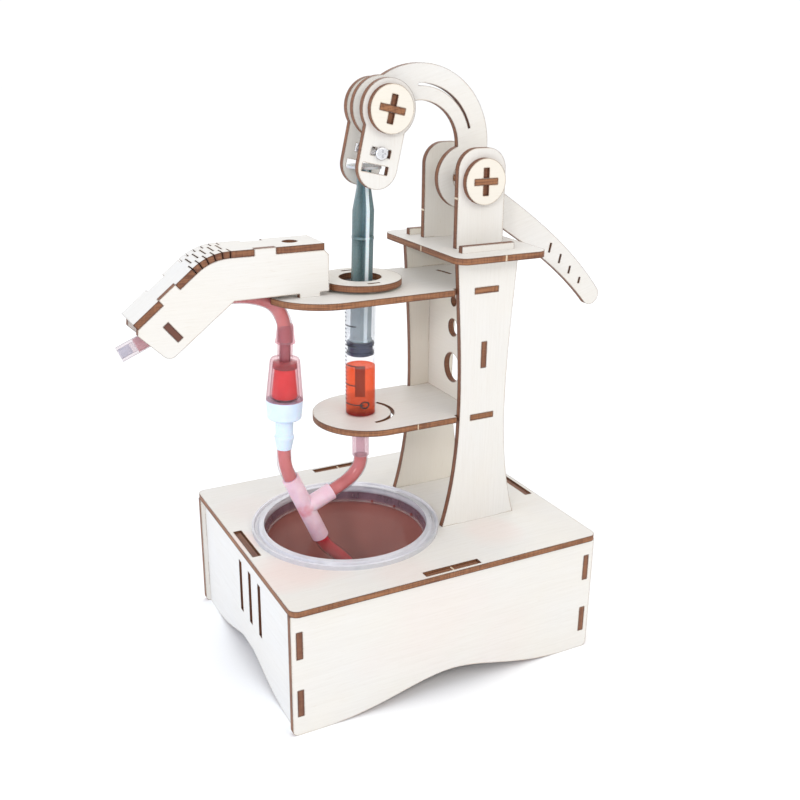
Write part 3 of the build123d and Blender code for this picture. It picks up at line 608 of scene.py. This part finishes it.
# ---- water ------------------------------------------------------------------------------
syringe_water = liquid("water_syringe", (0.96, 0.35, 0.19), (0.80, 0.085, 0.02), (0.90, 0.15, 0.05), 0.20,
                       (Z, 123.4 * MM, 122.2 * MM, (0.30, 0.014, 0.02)))
cup_water = liquid("water_cup_dye", (0.95, 0.84, 0.82), (0.36, 0.180, 0.155), (0.44, 0.225, 0.195), 0.17)
valve_water = liquid("water_valve", (0.96, 0.26, 0.26), (0.84, 0.025, 0.03), (0.94, 0.06, 0.055), 0.6)
valve_damp = liquid("water_valve_film", (0.80, 0.36, 0.37), (0.42, 0.08, 0.08), (0.52, 0.14, 0.13), 0.35)
barb_water = liquid("water_barb", (0.78, 0.48, 0.50), (0.34, 0.09, 0.11), (0.52, 0.23, 0.25), 0.55)
pink_water = liquid("water_pink", (0.94, 0.36, 0.38), (0.56, 0.095, 0.085), (0.68, 0.16, 0.15), 1.0)
red_water = liquid("water_red", (0.90, 0.06, 0.12), (0.66, 0.010, 0.03), (0.82, 0.03, 0.06), 1.0)
spout_water = liquid("water_spout", (0.95, 0.36, 0.34), (0.58, 0.090, 0.080), (0.70, 0.15, 0.135), 1.0,
                     (X, -66 * MM, -92 * MM, (0.66, 0.34, 0.36)))

# The column has no ring between its foot and its top, so it shortens cleanly under the piston.
COLUMN = ((0, 121.3), (6.95, 121.4), (6.95, 122.9), (6.95, 144.9), (6.4, 144.4), (0, 144.2))
column = turned("syringe_water", COLUMN, (SYRINGE_X, 0, 0))
column.materials.append(syringe_water)
syringe_column = bpy.data.objects.new("syringe_water", column)
bpy.context.scene.collection.objects.link(syringe_column)
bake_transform(syringe_column)


def cup_radius(z):
    """Inner radius of the cup at a height, in millimetres."""
    return 32.05 + (z - 10.0) * 8.0 / 52.0


level_r = cup_radius(CUP_LEVEL)
cup_pool = turned("cup_water", (
    (0, 11.0), (32.0, 11.0), (level_r, CUP_LEVEL), (level_r + 0.15, CUP_LEVEL + 0.9),
    (level_r - 0.4, CUP_LEVEL + 0.2), (level_r - 1.6, CUP_LEVEL), (0, CUP_LEVEL)),
    (*CUP_CENTRE, 0), segments=128)
piece("cup_water", cup_pool, "root", cup_water)

VALVE_WATERS = (
    ("valve_water", valve_water, ((0, 25.2), (5.6, 25.6), (6.0, 26.4), (4.7, 39.4), (4.3, 39.1), (0, 38.9))),
    ("valve_damp_film", valve_damp, (
        (0, 39.2), (5.2, 39.5), (5.6, 39.8), (5.4, 42.3), (2.5, 42.5), (0, 42.5))),
    ("barb_water", barb_water, ((0, 42.7), (2.5, 42.9), (2.5, 51.6), (0, 51.9))),
)
for name, water, profile in VALVE_WATERS:
    piece(name, turned(name, profile, VALVE_FOOT, VALVE_TILT), "root", water)

CORE_R = 3.05  # drawn wider than the bore, as a filled clear hose shows it
RUN_DOWN = TEE_RUN - pi
BRANCH_OUT = TEE_RUN - pi / 2
HOSE_WATERS = (
    ("outlet_water", spout_water, (
        (-53.61, 0, 161.26), (-53.27, 0, 169.9), (-58.2, 0, 180.0), (-69.5, 0, 184.3), (-83.0, 0, 185.2),
        (-96.0, 0, 180.8), (-107.8, 0, 173.8), (-115.0, 0, 170.4), (-120.6, 0, 168.0))),
    ("riser_water", pink_water, (
        (-55.7, 0, 109.3), along_tee(TEE_RUN, TEE_ARM + 7.8), along_tee(TEE_RUN, TEE_ARM))),
    ("branch_water", pink_water, (
        along_tee(BRANCH_OUT, TEE_BRANCH), along_tee(BRANCH_OUT, TEE_BRANCH + 9.5), (-17.6, 0, 91.6),
        (-16.0, 0, 95.6), (-16.0, 0, 99.0))),
    ("inlet_water", red_water, (
        along_tee(RUN_DOWN, TEE_ARM), along_tee(RUN_DOWN, TEE_ARM + 6.0), (-27.6, 0, 46.2),
        (-21.4, 0, 38.6), (-18.6, 0, 30.6))),
)
for name, water, route in HOSE_WATERS:
    hose_core(name, route, CORE_R, water)
END_DROP = ((-122.6, 0, 167.14), (-125.0, 0, 166.11), (-127.3, 0, 165.13))
clear_water = liquid("water_end_drop", (0.86, 0.90, 0.95), (0.66, 0.72, 0.80), (0.80, 0.84, 0.90), 0.55)
hose_core("outlet_end_water", END_DROP, 2.1, clear_water)


def beads(name, spots, material):
    """Small round drops, each (x, y, z, radius) in layout millimetres, as one mesh."""
    shape = bmesh.new()
    for x, y, z, radius in spots:
        place = Matrix.Translation(at(x, y, z)) @ Matrix.Diagonal((1, 1, 1.25, 1))
        bmesh.ops.create_icosphere(shape, subdivisions=3, radius=radius * MM, matrix=place)
    mesh = bpy.data.meshes.new(name)
    shape.to_mesh(mesh)
    shape.free()
    smooth(mesh)
    piece(name, mesh, "root", material)


# A thin ring of water drawn up the wall of the cup; its colour, paler than the pool, is a painted highlight
# along the meniscus.
rim_r = level_r - 0.1
WATERLINE = (
    (rim_r - 0.5, CUP_LEVEL + 0.1), (rim_r - 0.1, CUP_LEVEL + 0.6), (rim_r + 0.1, CUP_LEVEL + 0.9),
    (rim_r + 0.05, CUP_LEVEL + 0.3), (rim_r - 0.5, CUP_LEVEL + 0.05))
meniscus_highlight_water = liquid("water_edge", (0.95, 0.90, 0.90), (0.50, 0.36, 0.35), (0.62, 0.48, 0.46), 0.35)
waterline = turned("cup_waterline", WATERLINE, (*CUP_CENTRE, 0), segments=128)
piece("cup_waterline", waterline, "root", meniscus_highlight_water)


def on_cup_wall(turn, z, radius):
    """A drop that clings to the inside of the cup: (x, y, z, radius) in layout millimetres."""
    reach = cup_radius(z) - 0.3 * radius
    return (CUP_X + reach * cos(radians(turn)), CUP_Y + reach * sin(radians(turn)), z, radius)


# Each (turn in degrees, height in millimetres, radius in millimetres).
DROPS = (
    (77.4, 60.2, 0.8), (75.4, 61.6, 0.55), (79.7, 59.3, 0.6), (44.3, 58.6, 0.7), (24.8, 58.8, 0.7),
    (5.4, 58.9, 0.75), (102.3, 59.2, 0.65),
)
drop_water = liquid("water_drops", (0.90, 0.52, 0.50), (0.44, 0.12, 0.10), (0.55, 0.18, 0.15), 0.4)
beads("cup_drops", [on_cup_wall(*drop) for drop in DROPS], drop_water)

# ---- pale stubs left where the parts were broken out of their sheet ---------------------
# Each (x, y, z, width in x, width in y, height), in layout millimetres.
STUBS = (
    (38.95, -37.6, 198.5, 0.9, 0.24, 2.7), (14.5, -2.2, 198.5, 0.24, 0.9, 2.7),
    (24.9, 15.5, 213.3, 0.24, 2.7, 0.9), (24.9, -15.5, 222.9, 0.24, 2.7, 0.9),
    (1.5, -26.3, 119.5, 0.6, 0.24, 2.7), (0.3, -63.5, 63.2, 0.8, 3.8, 0.5), (0.3, 63.5, 63.2, 0.8, 3.8, 0.5),
)


def stub_look():
    look = Look("tab_stub")
    fibres = look.noise(look.times(look.object_coordinates(), (900, 900, 400)), 1.0, 3.0)
    tone = look.ramp(fibres, ((0.3, (0.52, 0.40, 0.27)), (0.7, (0.70, 0.58, 0.43))))
    look.surface_inputs(colour=tone, roughness=look.span(fibres, 0.3, 0.7, 0.6, 0.75))
    return look.material


def make_stubs():
    """Thin slivers with broken edges, as one mesh."""
    shape = bmesh.new()
    for x, y, z, wide, deep, high in STUBS:
        size = Matrix.Diagonal((wide * MM, deep * MM, high * MM, 1))
        place = Matrix.Translation(at(x, y, z)) @ size
        made = bmesh.ops.create_cube(shape, size=1.0, matrix=place)
        edges = {edge for corner in made["verts"] for edge in corner.link_edges}
        bmesh.ops.bevel(shape, geom=list(edges), offset=0.05 * MM, segments=1, affect="EDGES")
    mesh = bpy.data.meshes.new("tab_stubs")
    shape.to_mesh(mesh)
    shape.free()
    return mesh


piece("tab_stubs", make_stubs(), "root", stub_look())

# ---- printed scale ----------------------------------------------------------------------
# Millimetres, with angles round the barrel from +X.
ZERO_Z = 127.0
ML = 9.6  # from one long mark to the next
PRINT_R = 7.25
MARKS = 28
MARK_EDGE = radians(-200)
LONG_MARK = 8.7
SHORT_MARK = 2.8
MARK_HALF = 0.27
ZERO_AT = radians(-143)
ZERO_MARK = 10.6
ZERO_HALF = 0.28
BACK_PATCH = (radians(66), 5.0, -0.9, 14.9)
NOUGHT_AT = radians(-98)
NOUGHT_HALF_WIDTH = 2.45
NOUGHT_HALF_HEIGHT = 1.85
NOUGHT_INNER = 0.66
NOUGHT_STEPS = 40


def band(shape, angle, width, low, high):
    """A printed patch centred at an angle, between two heights measured from the nought."""
    steps = max(2, int(width / 0.25))
    half = width / PRINT_R / 2
    rows = []
    for step in range(steps + 1):
        turn = angle - half + 2 * half * step / steps
        x, y = SYRINGE_X + PRINT_R * MM * cos(turn), PRINT_R * MM * sin(turn)
        heights = ((ZERO_Z + low) * MM, (ZERO_Z + high) * MM)
        rows.append([shape.verts.new((x, y, height)) for height in heights])
    for before, after in zip(rows, rows[1:]):
        shape.faces.new((before[0], after[0], after[1], before[1]))


def nought(shape):
    """The ring of the nought, wrapped round the barrel."""
    for ring_step in range(NOUGHT_STEPS):
        after = ring_step + 1
        quad = []
        for step, scale in ((ring_step, 1.0), (after, 1.0), (after, NOUGHT_INNER), (ring_step, NOUGHT_INNER)):
            angle = 2 * pi * step / NOUGHT_STEPS
            turn = NOUGHT_AT + NOUGHT_HALF_WIDTH * scale * cos(angle) / PRINT_R
            height = (ZERO_Z + NOUGHT_HALF_HEIGHT * scale * sin(angle)) * MM
            quad.append(shape.verts.new((
                SYRINGE_X + PRINT_R * MM * cos(turn), PRINT_R * MM * sin(turn), height)))
        shape.faces.new(quad)


def make_scale():
    """Marks every fifth of a millilitre, longer ones each millilitre, and a nought at the start."""
    shape = bmesh.new()
    for step in range(1, MARKS + 1):
        z = step * ML / 5
        width = LONG_MARK if step % 5 == 0 else SHORT_MARK
        band(shape, MARK_EDGE + width / PRINT_R / 2, width, z - MARK_HALF, z + MARK_HALF)
    band(shape, ZERO_AT, ZERO_MARK, -ZERO_HALF, ZERO_HALF)
    band(shape, *BACK_PATCH)
    nought(shape)
    mesh = bpy.data.meshes.new("syringe_scale")
    bmesh.ops.remove_doubles(shape, verts=shape.verts, dist=1e-6)
    shape.to_mesh(mesh)
    shape.free()
    return mesh


piece("syringe_scale", make_scale(), "root", ink())

# ---- hose end over the outlet valve's barb ----------------------------------------------
FLARE = (
    (3.5, 60.2), (3.75, 59.0), (3.95, 57.0), (4.3, 53.4), (4.65, 52.2), (4.6, 51.6), (4.35, 51.4),
    (3.6, 51.5), (3.6, 52.2), (3.5, 60.0))
flare_vinyl = clear_plastic(
    "vinyl_flare", (0.90, 0.70, 0.72), (0.5, 0.32, 0.36), 0.16, 0.1, (0.70, 0.52, 0.57))
piece("hose_flare", turned("hose_flare", FLARE, VALVE_FOOT, VALVE_TILT), "root", flare_vinyl)
